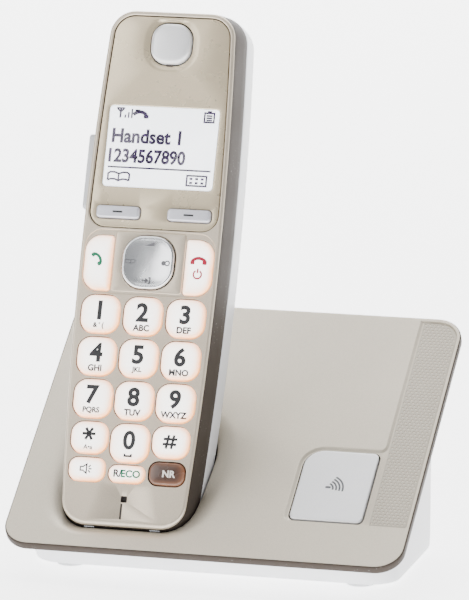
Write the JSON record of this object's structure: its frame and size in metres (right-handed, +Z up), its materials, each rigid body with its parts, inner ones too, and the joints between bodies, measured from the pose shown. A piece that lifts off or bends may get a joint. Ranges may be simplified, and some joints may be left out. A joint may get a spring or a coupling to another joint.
{
  "type": "cordless telephone",
  "caption": "Cordless keypad handset with backlit display standing in a sloping charging cradle with a locator button and a dimpled strip.",
  "frame": {"origin": "middle of the bounding box's bottom face, on the table under the cradle", "axes": "+Z up, front of the phone towards -Y, +X to the right seen from the front"},
  "size_m": [0.133, 0.0952, 0.1747],
  "materials": {
    "champagne": "fine metallic paint, satin",
    "base_champagne": "fine metallic paint, satin",
    "panel_champagne": "pearl paint under a clear coat",
    "white_shell": "smooth moulded, half gloss",
    "strip_grey": "dimpled satin paint",
    "satin_silver": "satin silver paint",
    "bright_silver": "vacuum-plated plastic",
    "key_white": "translucent moulded, backlit",
    "key_brown": "translucent smoked, backlit",
    "lens_clear": "clear hard-coated sheet",
    "lcd_white": "backlit liquid-crystal glass",
    "board_green": "solder mask",
    "dark_plastic": "moulded",
    "black_rubber": "matt",
    "mat_rubber": "translucent silicone",
    "steel": "plain",
    "gold_plate": "gold-plated spring strip",
    "cell_wrap": "printed shrink sleeve"
  },
  "bodies": {
    "base": {"base_top_cover": "base_champagne", "base_bottom_shell": "white_shell", "dimpled_strip": "strip_grey", "button_bracket": "dark_plastic", "locator_switch": "dark_plastic", "contact_holder": "dark_plastic", "base_circuit_board": "board_green", "line_jack": "dark_plastic", "power_jack": "dark_plastic", "rf_shield_can": "steel", "board_components": "dark_plastic", "base_antenna": "gold_plate", "rubber_feet": "black_rubber", "base_screws": "steel"},
    "handset": {"handset_front_shell": "champagne", "handset_rear_shell": "white_shell", "display_panel": "panel_champagne", "display_lens": "lens_clear", "lcd_module": "lcd_white", "backlight_guide": "lcd_white", "earpiece_cap": "bright_silver", "receiver_capsule": "dark_plastic", "keypad_mat": "mat_rubber", "handset_circuit_board": "board_green", "handset_components": "steel", "key_domes": "steel", "batteries": "cell_wrap", "battery_contacts": "steel", "handset_charge_contacts": "gold_plate", "microphone": "dark_plastic", "handsfree_speaker": "dark_plastic", "handset_screws": "steel"},
    "locator_button": {"locator_button": "satin_silver"},
    "charge_contact_left": {"charge_contact_left": "gold_plate"},
    "charge_contact_right": {"charge_contact_right": "gold_plate"},
    "navigator_pivot": {"navigator_pivot": "dark_plastic"},
    "navigator_key": {"navigator_key": "bright_silver"},
    "volume_rocker": {"volume_rocker": "white_shell"},
    "battery_cover": {"battery_cover": "white_shell"},
    "key_1": {"key_1": "key_white"},
    "key_2": {"key_2": "key_white"},
    "key_3": {"key_3": "key_white"},
    "key_4": {"key_4": "key_white"},
    "key_5": {"key_5": "key_white"},
    "key_6": {"key_6": "key_white"},
    "key_7": {"key_7": "key_white"},
    "key_8": {"key_8": "key_white"},
    "key_9": {"key_9": "key_white"},
    "key_star": {"key_star": "key_white"},
    "key_0": {"key_0": "key_white"},
    "key_hash": {"key_hash": "key_white"},
    "speaker_key": {"speaker_key": "key_white"},
    "recall_key": {"recall_key": "key_white"},
    "noise_key": {"noise_key": "key_brown"},
    "soft_key_left": {"soft_key_left": "satin_silver"},
    "soft_key_right": {"soft_key_right": "satin_silver"},
    "talk_key": {"talk_key": "key_white"},
    "off_key": {"off_key": "key_white"}
  },
  "joints": [
    {"name": "handset_lift", "type": "slide", "parent": "base", "child": "handset", "axis": [0, 0.3746, 0.9272], "range_m": [0, 0.1]},
    {"name": "key_1_press", "type": "slide", "parent": "handset", "child": "key_1", "axis": [0, 0.9272, -0.3746], "range_m": [0, 0.0008], "stiffness_N_per_m": 300, "springref_m": -0.002},
    {"name": "key_2_press", "type": "slide", "parent": "handset", "child": "key_2", "axis": [0, 0.9272, -0.3746], "range_m": [0, 0.0008], "stiffness_N_per_m": 300, "springref_m": -0.002},
    {"name": "key_3_press", "type": "slide", "parent": "handset", "child": "key_3", "axis": [0, 0.9272, -0.3746], "range_m": [0, 0.0008], "stiffness_N_per_m": 300, "springref_m": -0.002},
    {"name": "key_4_press", "type": "slide", "parent": "handset", "child": "key_4", "axis": [0, 0.9272, -0.3746], "range_m": [0, 0.0008], "stiffness_N_per_m": 300, "springref_m": -0.002},
    {"name": "key_5_press", "type": "slide", "parent": "handset", "child": "key_5", "axis": [0, 0.9272, -0.3746], "range_m": [0, 0.0008], "stiffness_N_per_m": 300, "springref_m": -0.002},
    {"name": "key_6_press", "type": "slide", "parent": "handset", "child": "key_6", "axis": [0, 0.9272, -0.3746], "range_m": [0, 0.0008], "stiffness_N_per_m": 300, "springref_m": -0.002},
    {"name": "key_7_press", "type": "slide", "parent": "handset", "child": "key_7", "axis": [0, 0.9272, -0.3746], "range_m": [0, 0.0008], "stiffness_N_per_m": 300, "springref_m": -0.002},
    {"name": "key_8_press", "type": "slide", "parent": "handset", "child": "key_8", "axis": [0, 0.9272, -0.3746], "range_m": [0, 0.0008], "stiffness_N_per_m": 300, "springref_m": -0.002},
    {"name": "key_9_press", "type": "slide", "parent": "handset", "child": "key_9", "axis": [0, 0.9272, -0.3746], "range_m": [0, 0.0008], "stiffness_N_per_m": 300, "springref_m": -0.002},
    {"name": "key_star_press", "type": "slide", "parent": "handset", "child": "key_star", "axis": [0, 0.9272, -0.3746], "range_m": [0, 0.0008], "stiffness_N_per_m": 300, "springref_m": -0.002},
    {"name": "key_0_press", "type": "slide", "parent": "handset", "child": "key_0", "axis": [0, 0.9272, -0.3746], "range_m": [0, 0.0008], "stiffness_N_per_m": 300, "springref_m": -0.002},
    {"name": "key_hash_press", "type": "slide", "parent": "handset", "child": "key_hash", "axis": [0, 0.9272, -0.3746], "range_m": [0, 0.0008], "stiffness_N_per_m": 300, "springref_m": -0.002},
    {"name": "speaker_key_press", "type": "slide", "parent": "handset", "child": "speaker_key", "axis": [0, 0.9272, -0.3746], "range_m": [0, 0.0008], "stiffness_N_per_m": 300, "springref_m": -0.002},
    {"name": "recall_key_press", "type": "slide", "parent": "handset", "child": "recall_key", "axis": [0, 0.9272, -0.3746], "range_m": [0, 0.0008], "stiffness_N_per_m": 300, "springref_m": -0.002},
    {"name": "noise_key_press", "type": "slide", "parent": "handset", "child": "noise_key", "axis": [0, 0.9272, -0.3746], "range_m": [0, 0.0008], "stiffness_N_per_m": 300, "springref_m": -0.002},
    {"name": "soft_key_left_press", "type": "slide", "parent": "handset", "child": "soft_key_left", "axis": [0, 0.9272, -0.3746], "range_m": [0, 0.0007], "stiffness_N_per_m": 300, "springref_m": -0.002},
    {"name": "soft_key_right_press", "type": "slide", "parent": "handset", "child": "soft_key_right", "axis": [0, 0.9272, -0.3746], "range_m": [0, 0.0007], "stiffness_N_per_m": 300, "springref_m": -0.002},
    {"name": "talk_key_press", "type": "slide", "parent": "handset", "child": "talk_key", "axis": [0, 0.9272, -0.3746], "range_m": [0, 0.0008], "stiffness_N_per_m": 300, "springref_m": -0.002},
    {"name": "off_key_press", "type": "slide", "parent": "handset", "child": "off_key", "axis": [0, 0.9272, -0.3746], "range_m": [0, 0.0008], "stiffness_N_per_m": 300, "springref_m": -0.002},
    {"name": "navigator_tilt", "type": "hinge", "parent": "handset", "child": "navigator_pivot", "pos_m": [-0.0277, -0.00361, 0.09594], "axis": [1, 0, 0], "range_deg": [-3, 3], "stiffness_Nm_per_rad": 0.02},
    {"name": "navigator_rock", "type": "hinge", "parent": "navigator_pivot", "child": "navigator_key", "pos_m": [-0.0277, -0.00361, 0.09594], "axis": [0, 0.3746, 0.9272], "range_deg": [-3, 3], "stiffness_Nm_per_rad": 0.02},
    {"name": "volume_rock", "type": "hinge", "parent": "handset", "child": "volume_rocker", "pos_m": [-0.04863, 0.01033, 0.12277], "axis": [0, 0.9272, -0.3746], "range_deg": [-3, 3], "stiffness_Nm_per_rad": 0.03},
    {"name": "battery_cover_open", "type": "hinge", "parent": "handset", "child": "battery_cover", "pos_m": [-0.0277, 0.0022, 0.0498], "axis": [-1, 0, 0], "range_deg": [0, 26]},
    {"name": "locator_button_press", "type": "slide", "parent": "base", "child": "locator_button", "axis": [0, 0.5592, -0.829], "range_m": [0, 0.001], "stiffness_N_per_m": 400, "springref_m": -0.002},
    {"name": "charge_contact_left_press", "type": "slide", "parent": "base", "child": "charge_contact_left", "axis": [0, -0.3746, -0.9272], "range_m": [0, 0.0008], "stiffness_N_per_m": 300, "springref_m": -0.002},
    {"name": "charge_contact_right_press", "type": "slide", "parent": "base", "child": "charge_contact_right", "axis": [0, -0.3746, -0.9272], "range_m": [0, 0.0008], "stiffness_N_per_m": 300, "springref_m": -0.002}
  ]
}
